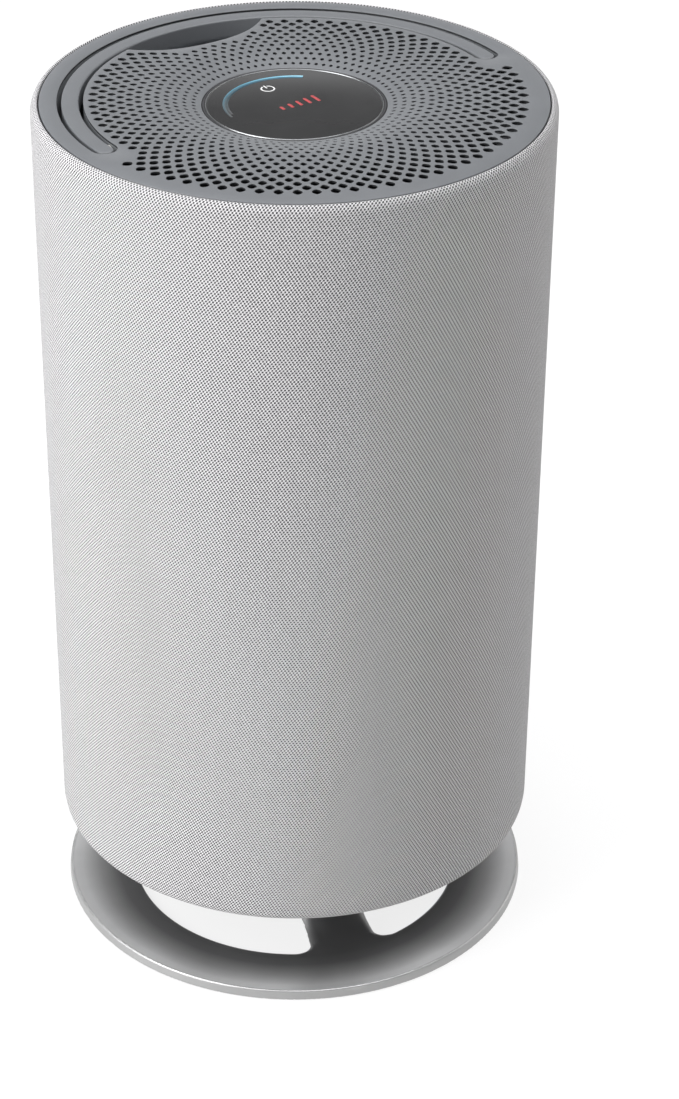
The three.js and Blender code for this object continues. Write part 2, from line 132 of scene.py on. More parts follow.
def fillet(r, z, rad, a0, a1, n=6):
    """Section points on a fillet arc centred at r, z."""
    return [(r + rad * math.cos(math.radians(a0 + (a1 - a0) * i / n)), z + rad * math.sin(math.radians(a0 + (a1 - a0) * i / n))) for i in range(n + 1)]


# ---------------------------------------------------------------- node helpers
class Mat:
    def __init__(self, name):
        self.m = bpy.data.materials.new(name)
        self.m.use_nodes = True
        self.t = self.m.node_tree
        self.t.nodes.clear()
        self.out = self.t.nodes.new("ShaderNodeOutputMaterial")
        self.b = self.t.nodes.new("ShaderNodeBsdfPrincipled")
        self.link(self.b.outputs[0], self.out.inputs[0])

    def link(self, a, b):
        self.t.links.new(a, b)

    def set(self, **kw):
        for k, v in kw.items():
            self.b.inputs[k.replace("_", " ")].default_value = v
        return self

    def node(self, kind, **kw):
        n = self.t.nodes.new(kind)
        for k, v in kw.items():
            setattr(n, k, v)
        return n

    def val(self, sock, v):
        if isinstance(v, (int, float)):
            sock.default_value = v
        elif isinstance(v, (tuple, list)):
            sock.default_value = v
        else:
            self.link(v, sock)

    def math(self, op, a, b=None, c=None, clamp=False):
        n = self.node("ShaderNodeMath", operation=op, use_clamp=clamp)
        self.val(n.inputs[0], a)
        if b is not None:
            self.val(n.inputs[1], b)
        if c is not None:
            self.val(n.inputs[2], c)
        return n.outputs[0]

    def obj(self):
        return self.node("ShaderNodeTexCoord").outputs["Object"]

    def uv(self):
        return self.node("ShaderNodeUVMap", uv_map="UVMap").outputs[0]

    def xyz(self, v):
        return self.link_out("ShaderNodeSeparateXYZ", v)

    def link_out(self, kind, v):
        n = self.node(kind)
        self.link(v, n.inputs[0])
        return n.outputs

    def noise(self, vec, scale, detail=3.0, rough=0.5, dist=0.0, dims="3D"):
        n = self.node("ShaderNodeTexNoise", noise_dimensions=dims)
        if vec is not None:
            self.link(vec, n.inputs["Vector"])
        n.inputs["Scale"].default_value = scale
        n.inputs["Detail"].default_value = detail
        n.inputs["Roughness"].default_value = rough
        n.inputs["Distortion"].default_value = dist
        return n.outputs[0]

    def ramp(self, fac, stops):
        n = self.node("ShaderNodeValToRGB")
        self.link(fac, n.inputs[0])
        el = n.color_ramp.elements
        while len(el) < len(stops):
            el.new(0.5)
        for e, (p, c) in zip(el, stops):
            e.position = p
            e.color = (*c, 1) if len(c) == 3 else c
        return n.outputs[0]

    def remap(self, v, a, b, c, d):
        n = self.node("ShaderNodeMapRange")
        self.link(v, n.inputs[0])
        for i, x in enumerate((a, b, c, d)):
            n.inputs[i + 1].default_value = x
        return n.outputs[0]

    def mix(self, fac, a, b, mode="MIX"):
        n = self.node("ShaderNodeMix", data_type="RGBA", blend_type=mode)
        self.val(n.inputs[0], fac)
        self.val(n.inputs[6], a if not isinstance(a, tuple) else (*a, 1) if len(a) == 3 else a)
        self.val(n.inputs[7], b if not isinstance(b, tuple) else (*b, 1) if len(b) == 3 else b)
        return n.outputs[2]

    def bump(self, height, strength=0.3, dist=0.001, normal=None):
        n = self.node("ShaderNodeBump")
        n.inputs["Strength"].default_value = strength
        n.inputs["Distance"].default_value = dist
        self.link(height, n.inputs["Height"])
        if normal is not None:
            self.link(normal, n.inputs["Normal"])
        return n.outputs[0]

    def color(self, sock):
        self.link(sock, self.b.inputs["Base Color"])

    def rough(self, sock):
        self.link(sock, self.b.inputs["Roughness"])

    def normal(self, sock):
        self.link(sock, self.b.inputs["Normal"])


def plastic(name, col, rough=0.5, grain=0.25, grain_scale=1400.0, vary=0.06, spec=0.5):
    """Moulded plastic: fine spark texture, faint flow marks and handling shine."""
    m = Mat(name)
    o = m.obj()
    fine = m.noise(o, grain_scale, 2.0, 0.6)
    broad = m.noise(o, 9.0, 3.0, 0.55)
    mid = m.noise(o, 70.0, 3.0, 0.6)
    dark = tuple(c * (1 - vary) for c in col)
    light = tuple(c * (1 + vary) for c in col)
    m.color(m.ramp(m.math("ADD", m.math("MULTIPLY", broad, 0.6), m.math("MULTIPLY", mid, 0.4)), [(0.3, dark), (0.7, light)]))
    m.rough(m.remap(m.math("ADD", m.math("MULTIPLY", fine, 0.5), m.math("MULTIPLY", mid, 0.5)), 0.3, 0.7, rough - 0.05, rough + 0.06))
    m.normal(m.bump(fine, grain, 0.0002))
    m.set(Specular_IOR_Level=spec)
    return m.m


def metal(name, col, rough=0.3, fine_scale=2600.0, strength=0.12, swirl=False, metallic=1.0, radial_painted_shade=False):
    m = Mat(name)
    o = m.obj()
    fine = m.noise(o, fine_scale, 2.0, 0.5)
    broad = m.noise(o, 12.0, 4.0, 0.6)
    if swirl:
        x, y, z = m.xyz(o)
        r = m.math("SQRT", m.math("ADD", m.math("MULTIPLY", x, x), m.math("MULTIPLY", y, y)))
        c = m.node("ShaderNodeCombineXYZ")
        m.link(m.math("MULTIPLY", r, 3000.0), c.inputs[0])
        m.link(m.math("MULTIPLY", z, 3000.0), c.inputs[1])
        fine = m.noise(c.outputs[0], 1.0, 2.0, 0.6)
    tone = m.ramp(broad, [(0.3, tuple(c * 0.94 for c in col)), (0.7, tuple(min(1, c * 1.05) for c in col))])
    if radial_painted_shade:
        # painted shade: the colour darkens from the lip towards the hub, where the drum above shades the ring; the ramp
        # also darkens the outer lip face
        x, y, z = m.xyz(o)
        r = m.math("SQRT", m.math("ADD", m.math("MULTIPLY", x, x), m.math("MULTIPLY", y, y)))
        place = m.remap(m.math("ADD", r, m.math("MULTIPLY", broad, 0.003)), 0.126, 0.176, 0.0, 1.0)
        shade = m.ramp(place, [(0.0, (0.24, 0.24, 0.242)), (0.22, (0.28, 0.28, 0.282)), (0.50, (0.58, 0.58, 0.58)), (0.78, (0.98, 0.98, 0.98)), (0.90, (1.0, 1.0, 1.0)), (0.950, (0.42, 0.42, 0.42))])
        tone = m.mix(1.0, tone, shade, "MULTIPLY")
    m.color(tone)
    m.rough(m.remap(m.math("ADD", m.math("MULTIPLY", fine, 0.45), m.math("MULTIPLY", broad, 0.55)), 0.3, 0.7, rough - 0.04, rough + 0.06))
    m.normal(m.bump(fine, strength, 0.0001))
    m.set(Metallic=metallic)
    return m.m


# ---------------------------------------------------------------- materials
def knit_material():
    """Knitted spacer mesh: slanted rows of small openings, 2.4 mm apart on rows 1.57 mm apart."""
    m = Mat("knit_fabric")
    u, v, _ = m.xyz(m.uv())
    turns = m.math("MULTIPLY", u, 461.0 * TAU)
    p1 = m.math("ADD", turns, m.math("MULTIPLY", v, 239.0 * TAU))
    p2 = m.math("SUBTRACT", turns, m.math("MULTIPLY", v, 397.0 * TAU))
    p3 = m.math("MULTIPLY", v, 636.0 * TAU)
    p4 = m.math("MULTIPLY", v, 318.0 * TAU)
    c1, c2, c3, c4 = (m.math("COSINE", p) for p in (p1, p2, p3, p4))
    h = m.math("ADD", m.math("MULTIPLY", c1, 0.46), m.math("MULTIPLY", c2, 0.52))
    h = m.math("ADD", h, m.math("MULTIPLY", c3, 0.12))
    h = m.math("ADD", h, m.math("MULTIPLY", c4, 0.06))
    o = m.obj()
    fib = m.noise(o, 2600.0, 3.0, 0.7)
    loop = m.noise(o, 420.0, 2.0, 0.6)
    broad = m.noise(o, 6.0, 3.0, 0.5)
    hole = m.remap(h, -0.24, 0.60, 0.0, 1.0)
    hole = m.math("POWER", m.math("MAXIMUM", hole, 0.0), 1.15)
    light = m.mix(m.remap(fib, 0.3, 0.7, 0.0, 1.0), (0.548, 0.540, 0.551), (0.760, 0.750, 0.762))
    light = m.mix(m.math("MULTIPLY", m.remap(loop, 0.35, 0.7, 0.0, 1.0), 0.25), light, (0.453, 0.446, 0.454))
    light = m.mix(m.math("MULTIPLY", m.remap(broad, 0.3, 0.7, 0.0, 1.0), 0.10), light, (0.59, 0.574, 0.572))
    # the openings are mixed to near-black: painted shade in their depth and along the knit's relief
    m.color(m.mix(m.math("MULTIPLY", hole, 0.97, clamp=True), light, (0.034, 0.033, 0.036)))
    m.rough(m.remap(fib, 0.2, 0.8, 0.78, 0.95))
    height = m.math("SUBTRACT", m.math("MULTIPLY", fib, 0.25), m.math("MULTIPLY", hole, 1.0))
    m.normal(m.bump(height, 1.0, 0.0014))
    m.set(Sheen_Weight=0.18, Sheen_Roughness=0.45, Specular_IOR_Level=0.2)
    return m.m


def band_material():
    """Plain woven tape along the sleeve's rear seam."""
    m = Mat("seam_tape")
    u, v, _ = m.xyz(m.uv())
    wv = m.math("MULTIPLY", m.math("SINE", m.math("MULTIPLY", v, 1100 * TAU)), 1.0)
    fib = m.noise(m.obj(), 1800.0, 3.0, 0.6)
    m.color(m.mix(m.remap(fib, 0.3, 0.7, 0, 1), (0.37, 0.365, 0.36), (0.47, 0.462, 0.455)))
    m.normal(m.bump(m.math("ADD", m.math("MULTIPLY", wv, 0.3), fib), 0.4, 0.0003))
    m.set(Roughness=0.9, Sheen_Weight=0.15)
    return m.m


def glass_material():
    """Smoked polished panel with a very faint finger haze."""
    m = Mat("dark_glass")
    o = m.obj()
    haze = m.noise(o, 26.0, 4.0, 0.6, 0.6)
    dust = m.noise(o, 900.0, 2.0, 0.5)
    m.color(m.ramp(haze, [(0.3, (0.030, 0.030, 0.0305)), (0.75, (0.034, 0.034, 0.0345))]))
    m.rough(m.remap(haze, 0.3, 0.75, 0.16, 0.24))
    m.normal(m.bump(dust, 0.02, 0.0001))
    m.set(Specular_IOR_Level=0.30)
    return m.m


def glow_material(name, stops, strength):
    """Light from the guide below: brightness runs along the arc by angle."""
    m = Mat(name)
    u, v, _ = m.xyz(m.uv())
    col = m.ramp(u, stops)
    m.color(col)
    m.link(col, m.b.inputs["Emission Color"])
    m.b.inputs["Emission Strength"].default_value = strength
    m.rough(m.remap(m.noise(m.obj(), 300.0), 0.3, 0.7, 0.3, 0.4))
    return m.m


def print_material(name, col):
    m = Mat(name)
    n = m.noise(m.obj(), 700.0, 2.0)
    m.color(m.ramp(n, [(0.3, tuple(c * 0.93 for c in col)), (0.7, col)]))
    m.rough(m.remap(n, 0.3, 0.7, 0.4, 0.5))
    return m.m


def board_material():
    m = Mat("circuit_board")
    o = m.obj()
    n = m.noise(o, 240.0, 2.0)
    tr = m.node("ShaderNodeTexVoronoi", feature="DISTANCE_TO_EDGE")
    m.link(o, tr.inputs["Vector"])
    tr.inputs["Scale"].default_value = 220.0
    edge = m.math("LESS_THAN", tr.outputs[0], 0.06)
    m.color(m.mix(m.math("MULTIPLY", edge, 0.6), m.ramp(n, [(0.3, (0.02, 0.13, 0.06)), (0.7, (0.03, 0.18, 0.08))]), (0.25, 0.3, 0.12)))
    m.rough(m.remap(n, 0.3, 0.7, 0.35, 0.5))
    return m.m


def paper_material():
    m = Mat("filter_paper")
    n = m.noise(m.obj(), 900.0, 3.0)
    m.color(m.ramp(n, [(0.3, (0.74, 0.74, 0.70)), (0.7, (0.86, 0.86, 0.83))]))
    m.normal(m.bump(n, 0.3, 0.0003))
    m.set(Roughness=0.95)
    return m.m


def mesh_material():
    m = Mat("mesh_fabric")
    x, y, z = m.xyz(m.obj())
    a = m.math("ARCTAN2", y, x)
    w = m.math("MULTIPLY", m.math("SINE", m.math("MULTIPLY", a, 300.0)), m.math("SINE", m.math("MULTIPLY", z, 2500.0)))
    m.color(m.ramp(m.remap(w, -1, 1, 0, 1), [(0.2, (0.35, 0.35, 0.34)), (0.8, (0.7, 0.7, 0.68))]))
    m.normal(m.bump(w, 0.3, 0.0004))
    m.set(Roughness=0.85)
    return m.m


def foam_material():
    m = Mat("carbon_foam")
    v = m.node("ShaderNodeTexVoronoi")
    m.link(m.obj(), v.inputs["Vector"])
    v.inputs["Scale"].default_value = 520.0
    m.color(m.ramp(v.outputs[0], [(0.0, (0.008, 0.008, 0.008)), (0.8, (0.05, 0.05, 0.05))]))
    m.normal(m.bump(v.outputs[0], 0.8, 0.001))
    m.set(Roughness=1.0)
    return m.m


def copper_material():
    m = Mat("copper")
    x, y, z = m.xyz(m.obj())
    w = m.math("SINE", m.math("MULTIPLY", z, 9000.0))
    m.color(m.ramp(m.remap(w, -1, 1, 0, 1), [(0.1, (0.25, 0.09, 0.03)), (0.9, (0.62, 0.27, 0.12))]))
    m.normal(m.bump(w, 0.5, 0.0003))
    m.set(Metallic=0.8, Roughness=0.35)
    return m.m


MATS = {
    # the ring's colour carries painted shade, darker from the lip towards the hub
    "cast_aluminium": metal("cast_aluminium", (0.92, 0.92, 0.92), 0.42, strength=0.2, metallic=0.80, radial_painted_shade=True),
    "rubber": plastic("rubber", (0.030, 0.030, 0.032), 0.85, 0.5, 900.0),
    "steel": metal("steel", (0.62, 0.62, 0.63), 0.28, swirl=True, strength=0.25),
    "motor_metal": metal("motor_metal", (0.52, 0.53, 0.54), 0.38),
    "copper": copper_material(),
    "knit_fabric": knit_material(),
    "top_plastic": plastic("top_plastic", (0.134, 0.140, 0.149), 0.42, 0.22),
    "cover_plastic": plastic("cover_plastic", (0.075, 0.075, 0.08), 0.55, 0.4, 1100.0),
    "cage_plastic": plastic("cage_plastic", (0.03, 0.03, 0.032), 0.6, 0.15),
    "dark_plastic": plastic("dark_plastic", (0.030, 0.030, 0.033), 0.45, 0.2),
    "dark_glass": glass_material(),
    "clear_plastic": plastic("clear_plastic", (0.55, 0.75, 0.85), 0.3, 0.05),
    "nylon": plastic("nylon", (0.72, 0.71, 0.66), 0.5, 0.1),
    "circuit_board": board_material(),
    "brass": metal("brass", (0.70, 0.52, 0.22), 0.25),
    "filter_paper": paper_material(),
    "carbon_foam": foam_material(),
    "mesh_fabric": mesh_material(),
    "cable": plastic("cable", (0.02, 0.02, 0.02), 0.5, 0.2),
}
SLOT_OF = {s["node"]: s["material_slot"] for s in frame["record"]["subparts"]}
for node, ob in NODES.items():
    ob.data.materials.clear()
    ob.data.materials.append(MATS[SLOT_OF[node]])


def dress(ob, slot, body, *nodes, mat=None):
    ob.data.materials.clear()
    ob.data.materials.append(mat or MATS[slot])
    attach(ob, body)
    if nodes:
        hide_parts(*nodes)
    return ob


# ================================================================ SLEEVE
def sleeve():
    out = [(166.6, 73.1), (168.2, 73.05), (169.8, 73.4), (171.4, 74.2), (172.7, 75.3), (173.7, 76.8), (174.3, 78.5), (drum_r(81), 81)]
    for i in range(1, 56):
        z = 81 + (627.5 - 81) * i / 55
        out.append((drum_r(z), z))
    out += [(177.72, 629.2), (177.35, 630.9), (176.7, 632.4), (175.8, 633.6), (174.8, 634.45), (173.9, 634.85), (173.15, 634.8), (172.75, 634.2), (172.7, 632.8)]
    n = 360
    verts, uvs, rows = [], [], []
    s = 0.0
    arcs = []
    for i, (r, z) in enumerate(out):
        if i:
            s += math.hypot(r - out[i - 1][0], z - out[i - 1][1])
        arcs.append(s)
    faces = []
    for r, z in out:
        rows.append(len(verts))
        for k in range(n):
            a = TAU * k / n
            verts.append((r * math.cos(a), r * math.sin(a), z))
    fuv = []
    for j in range(len(out) - 1):
        for k in range(n):
            k2 = (k + 1) % n
            faces.append((rows[j] + k, rows[j] + k2, rows[j + 1] + k2, rows[j + 1] + k))
            u0, u1 = (k / n + 0.25) % 1.0, (k / n + 0.25) % 1.0 + 1 / n
            fuv += [(u0, arcs[j] * MM), (u1, arcs[j] * MM), (u1, arcs[j + 1] * MM), (u0, arcs[j + 1] * MM)]
    ob = make("knit_sleeve", verts, faces, uvs=fuv, sharp_deg=None)
    mod = ob.modifiers.new("cloth_thickness", "SOLIDIFY")
    mod.thickness = 0.0016
    mod.offset = -1.0
    return ob


sleeve_ob = dress(sleeve(), "knit_fabric", "housing", "fabric_sleeve")

# Rear closing seam: a flat felled tape with two rows of stitches.
def seam():
    verts, faces, uvs = [], [], []
    zs = np.linspace(76.0, 633.2, 120)
    prof = [(-4.6, -0.10), (-4.2, 0.22), (-3.0, 0.34), (-1.2, 0.30), (0.0, 0.42), (1.2, 0.30), (3.0, 0.34), (4.2, 0.22), (4.6, -0.10)]
    edge = {66.5: 0}
    for i, z in enumerate(zs):
        if z < 81:
            t = (81 - z) / 8.0
            r = drum_r(81) - 5.4 * (1 - math.sqrt(max(0.0, 1 - t * t)))
        elif z > 627.5:
            t = (z - 627.5) / 7.4
            r = 177.75 - 4.4 * (1 - math.sqrt(max(0.0, 1 - t * t)))
        else:
            r = drum_r(z)
        for x, d in prof:
            a = math.pi / 2 - x / r
            verts.append(((r + d) * math.cos(a), (r + d) * math.sin(a), z))
            uvs.append((x * MM * 10, z * MM))
    m = len(prof)
    for i in range(len(zs) - 1):
        for k in range(m - 1):
            a = i * m + k
            faces.append((a, a + m, a + m + 1, a + 1))
    ob = make("sleeve_rear_seam", verts, faces, uvs=uvs, sharp_deg=None)
    mod = ob.modifiers.new("tape_thickness", "SOLIDIFY")
    mod.thickness = 0.0008
    mod.offset = -1.0
    return ob


seam_ob = dress(seam(), "knit_fabric", "housing", mat=band_material())


def stitches():
    verts, faces = [], []
    step, length = 3.4, 2.3
    for side in (-2.9, 2.9):
        z = 84.0
        while z < 624:
            r = drum_r(z) + 0.32
            a = math.pi / 2 - side / r
            base = len(verts)
            ex = np.array([-math.sin(a), math.cos(a), 0])
            er = np.array([math.cos(a), math.sin(a), 0])
            for t in np.linspace(0, 1, 5):
                c = er * (r + 0.20 * math.sin(math.pi * t)) + np.array([0, 0, z + length * t])
                rad = 0.24 * (0.55 + 0.45 * math.sin(math.pi * t))
                for q in range(6):
                    b = TAU * q / 6
                    verts.append(tuple(c + ex * rad * math.cos(b) + er * rad * math.sin(b)))
            for t in range(4):
                for q in range(6):
                    q2 = (q + 1) % 6
                    faces.append((base + t * 6 + q, base + t * 6 + q2, base + (t + 1) * 6 + q2, base + (t + 1) * 6 + q))
            faces.append(tuple(base + q for q in range(5, -1, -1)))
            faces.append(tuple(base + 24 + q for q in range(6)))
            z += step
    return make("sleeve_seam_stitches", verts, faces, sharp_deg=None)


stitch_ob = dress(stitches(), "knit_fabric", "housing", mat=print_material("stitch_thread", (0.66, 0.655, 0.64)))


# ================================================================ TOP PLATE
def dish_z(r):
    return TOP if r >= 95 else TOP - 5.5 * ((95 - r) / 32.5) ** 1.5


def arc_bar(rc, w, end_y, segs, end_segs):
    """Outline of a half ring with round ends, counter-clockwise."""
    h = w / 2
    yc = end_y + h
    a0 = math.degrees(math.asin(yc / rc))
    cx = rc * math.cos(math.radians(a0))
    pts = arc(rc + h, a0, 180 - a0, segs)
    for i in range(1, end_segs):
        t = math.pi * i / end_segs
        pts.append((-cx - h * math.cos(t), yc - h * math.sin(t)))
    pts += arc(rc - h, 180 - a0, a0, segs)
    for i in range(1, end_segs):
        t = math.pi * i / end_segs
        pts.append((cx - h * math.cos(t), yc - h * math.sin(t)))
    return pts


def spline(pts, n):
    """Catmull-Rom through pts, n points per span."""
    p = np.array(pts, float)
    p = np.vstack([2 * p[0] - p[1], p, 2 * p[-1] - p[-2]])
    out = []
    for i in range(1, len(p) - 2):
        for t in np.linspace(0, 1, n, endpoint=False):
            a, b, c, d = p[i - 1], p[i], p[i + 1], p[i + 2]
            out.append(0.5 * ((2 * b) + (c - a) * t + (2 * a - 5 * b + 4 * c - d) * t * t + (3 * b - a - 3 * c + d) * t ** 3))
    out.append(p[-2])
    return [tuple(x) for x in out]


# The scoop's edge leaves the groove's inner edge (r = 142) in a soft S on each side.
SCOOP_HALF = [(54.5, 131.2), (50.4, 127.6), (46.0, 124.4), (41.0, 121.0), (34.6, 117.6), (25.4, 114.4), (13.2, 112.2), (0.0, 111.5)]


def groove_outline():
    """Groove and scoop in one outline, counter-clockwise, starting at the right end."""
    rc, h, end_y = HANDLE_R, 8.85, -16.4
    yc = end_y + h
    a0 = math.degrees(math.asin(yc / rc))
    cx = rc * math.cos(math.radians(a0))
    pts = arc(rc + h, a0, 180 - a0, 150)
    for i in range(1, 16):
        t = math.pi * i / 16
        pts.append((-cx - h * math.cos(t), yc - h * math.sin(t)))
    ri = rc - h
    start = 90 + math.degrees(math.asin(57.0 / ri))
    pts += arc(ri, 180 - a0, start, 52)
    left = [(-x, y) for x, y in SCOOP_HALF]
    bump = spline([(-57.0 - 0.2, math.sqrt(ri ** 2 - 57.2 ** 2) - 0.15)] + left + [(x, y) for x, y in SCOOP_HALF[::-1][1:]] + [(57.2, math.sqrt(ri ** 2 - 57.2 ** 2) - 0.15)], 5)
    pts += bump[1:-1]
    pts += arc(ri, 180 - start, a0, 52)
    for i in range(1, 16):
        t = math.pi * i / 16
        pts.append((cx - h * math.cos(t), yc - h * math.sin(t)))
    return pts


def offset(pts, d):
    """Outline moved outwards by d, by vertex normals, counter-clockwise."""
    p = np.array(pts)
    e = np.roll(p, -1, 0) - p
    e /= np.linalg.norm(e, axis=1)[:, None] + 1e-12
    n = np.stack([e[:, 1], -e[:, 0]], 1)
    vn = n + np.roll(n, 1, 0)
    vn /= np.linalg.norm(vn, axis=1)[:, None] + 1e-12
    return [tuple(x) for x in p + vn * d]


RINGS = [154.0, 147.6, 141.5, 135.4, 129.4, 123.2, 117.0, 111.0, 105.0, 98.7, 92.6, 86.2, 80.4, 74.1, 68.0]
GROOVE = groove_outline()


def inside(poly, x, y):
    c = False
    j = len(poly) - 1
    for i in range(len(poly)):
        xi, yi = poly[i]
        xj, yj = poly[j]
        if (yi > y) != (yj > y) and x < (xj - xi) * (y - yi) / (yj - yi) + xi:
            c = not c
        j = i
    return c


def hole_list():
    near = offset(GROOVE, 5.2)
    holes = []
    for j, r in enumerate(RINGS):
        phase = 0.25 if j % 2 == 0 else 2.5
        d = 2.7 + (r - 68) * 0.0545
        for k in range(80):
            a = math.radians(phase + 4.5 * k)
            x, y = r * math.cos(a), r * math.sin(a)
            deg = (phase + 4.5 * k) % 360
            if j < 3 and not (191.5 < deg < 348.5):
                continue
            if inside(near, x, y):
                continue
            holes.append((r, a, d))
    return holes


def top_plate():
    bevel, thick = 0.32, 1.5
    pts, edges, z0s, low = [], [], [], []
    loops = []

    def add_loop(outer, inner):
        base = len(pts)
        n = len(outer)
        for (x, y), (xi, yi) in zip(outer, inner):
            pts.append(Vector((x, y)))
            low.append((xi, yi))
        for i in range(n):
            edges.append((base + i, base + (i + 1) % n))
        loops.append((base, n))

    for r, a, d in hole_list():
        c, s = math.cos(a), math.sin(a)
        o, i2 = [], []
        m = 14 if d > 3 else 10
        for q in range(m):
            t = TAU * q / m
            ct, st = math.cos(t), math.sin(t)
            p = 0.80 if d > 3 else 0.95
            u = 0.52 * d * math.copysign(abs(ct) ** (1 / p), ct)
            v = 0.44 * d * math.copysign(abs(st) ** (1 / p), st)
            k = 1 + bevel / (0.5 * d)
            for dst, kk in ((o, k), (i2, 1.0)):
                uu, vv = u * kk, v * kk
                dst.append(((r + uu) * c - vv * s, (r + uu) * s + vv * c))
        add_loop(o, i2)
    holes_end = len(loops)
    add_loop(offset(GROOVE, 0.45), GROOVE)
    n_in, n_out = 240, 360
    add_loop(arc(63.6, 0, 360 - 360 / n_in, n_in - 1), arc(62.6, 0, 360 - 360 / n_in, n_in - 1))
    add_loop(arc(171.35, 0, 360 - 360 / n_out, n_out - 1), arc(171.9, 0, 360 - 360 / n_out, n_out - 1))
    groove_loop, in_loop, out_loop = loops[holes_end], loops[holes_end + 1], loops[holes_end + 2]
    n_rim = len(pts)
    # extra points so the dish and the flat stay evenly meshed
    for r in (64.6, 65.6, 71.2, 77.3, 83.3, 89.4, 95.0):
        m = 160
        for k in range(m):
            a = TAU * (k + 0.5) / m + (0.0 if r < 66 else math.radians(0.25 + 1.125))
            pts.append(Vector((r * math.cos(a), r * math.sin(a))))
            low.append((r * math.cos(a), r * math.sin(a)))
    hl = [(r, a, d) for r, a, d in hole_list()]
    hx = np.array([(r * math.cos(a), r * math.sin(a), d) for r, a, d in hl])
    keep = []
    for i in range(n_rim, len(pts)):
        dd = np.hypot(hx[:, 0] - pts[i].x, hx[:, 1] - pts[i].y) - hx[:, 2] * 0.62 - bevel
        keep.append(dd.min() > 0.25)
    extra = [(p, l) for p, l, k in zip(pts[n_rim:], low[n_rim:], keep) if k]
    pts = pts[:n_rim] + [p for p, _ in extra]
    low = low[:n_rim] + [l for _, l in extra]
    vo, eo, fo, ov, oe, of = delaunay_2d_cdt(pts, edges, [], 0, 1e-6)
    co = np.array([(v.x, v.y) for v in vo])
    lowm = np.zeros_like(co)
    for i, src in enumerate(ov):
        lowm[i] = low[src[0]] if src else co[i]
    tri = np.array([f[:3] for f in fo if len(f) == 3])
    cen = co[tri].mean(1)
    # keep only triangles on the plate
    rr = np.hypot(cen[:, 0], cen[:, 1])
    ok = (rr > 63.5) & (rr < 171.4)
    gpoly = np.array(offset(GROOVE, 0.45))

    def in_poly(px, py, poly):
        c = np.zeros(len(px), bool)
        j = len(poly) - 1
        for i in range(len(poly)):
            xi, yi = poly[i]
            xj, yj = poly[j]
            cond = (yi > py) != (yj > py)
            with np.errstate(divide="ignore", invalid="ignore"):
                xs = (xj - xi) * (py - yi) / (yj - yi) + xi
            c ^= cond & (px < xs)
            j = i
        return c

    ok &= ~in_poly(cen[:, 0], cen[:, 1], gpoly)
    # triangles whose three corners all come from one hole's rim are the hole itself
    owner = -np.ones(len(co), int)
    first = {}
    for i, src in enumerate(ov):
        for sidx in src:
            for li, (b, n) in ((0, (0, 0)),):
                pass
    starts = np.array([b for b, n in loops[:holes_end]])
    for i, src in enumerate(ov):
        if src and src[0] < holes_end and False:
            pass
        if src:
            k = np.searchsorted(starts, src[0], side="right") - 1
            if 0 <= k < holes_end and src[0] < starts[k] + loops[k][1]:
                owner[i] = k
    same = (owner[tri[:, 0]] >= 0) & (owner[tri[:, 0]] == owner[tri[:, 1]]) & (owner[tri[:, 1]] == owner[tri[:, 2]])
    tri = tri[ok & ~same]
    n = len(co)
    rtop = np.hypot(co[:, 0], co[:, 1])
    zt = np.array([dish_z(r) for r in rtop])
    top = np.column_stack([co, zt])
    is_rim = np.zeros(n, bool)
    back = {}
    for i, src in enumerate(ov):
        for sidx in src:
            back[sidx] = i
    verts = [top]
    faces = [tuple(t) if True else t for t in tri]
    # wall loops: chamfer, wall, then the lower face at the wall's outline
    lz = np.array([dish_z(r) for r in np.hypot(lowm[:, 0], lowm[:, 1])])
    bottom = np.column_stack([lowm, lz - thick])
    vbase = n
    verts.append(bottom)
    faces += [(a + vbase, c + vbase, b + vbase) for a, b, c in tri]
    cur = 2 * n
    extra_rows = []
    for li, (b, m) in enumerate(loops):
        ids = [back[b + i] for i in range(m)]
        rows = []
        if li == holes_end + 1:          # rolled inner rim beside the panel
            steps = [(0.0, 0.0), (0.38, 0.08), (0.72, 0.30), (0.93, 0.62), (1.0, 1.0)]
        elif li == holes_end + 2:        # outer edge
            steps = [(0.0, 0.0), (0.55, 0.12), (0.9, 0.42), (1.0, 0.8)]
        elif li == holes_end:
            steps = [(0.0, 0.0), (0.5, 0.1), (0.87, 0.32), (1.0, 0.62)]
        else:
            steps = [(0.0, 0.0), (1.0, bevel)]
        rows.append(ids)
        for f, dz in steps[1:]:
            xy = co[ids] * (1 - f) + lowm[ids] * f
            z = zt[ids] - dz
            verts.append(np.column_stack([xy, z]))
            rows.append(list(range(cur, cur + m)))
            cur += m
        rows.append([i + n for i in ids])
        flip = li == holes_end + 2
        for p, q in zip(rows, rows[1:]):
            for i in range(m):
                i2 = (i + 1) % m
                f4 = (p[i], q[i], q[i2], p[i2])
                faces.append(f4 if not flip else f4[::-1])
    ob = make("perforated_top", np.vstack(verts), faces, sharp_deg=28.0)
    bm = bmesh.new()
    bm.from_mesh(ob.data)
    loose = [v for v in bm.verts if not v.link_faces]
    bmesh.ops.delete(bm, geom=loose, context="VERTS")
    bmesh.ops.recalc_face_normals(bm, faces=bm.faces)
    bm.to_mesh(ob.data)
    bm.free()
    fix_out(ob)
    ob.data.set_sharp_from_angle(angle=math.radians(28))
    return ob


top_ob = dress(top_plate(), "top_plastic", "housing", "top_grille")
# the steep walls of the holes and of the other cut edges get a near-black colour: painted shade in the deep openings
top_ob.data.materials.append(plastic("hole_wall_painted_shade", (0.018, 0.019, 0.021), 0.6, 0.3))
for poly in top_ob.data.polygons:
    if abs(poly.normal.z) < 0.4 and math.hypot(poly.center.x, poly.center.y) < 0.162:
        poly.material_index = 1


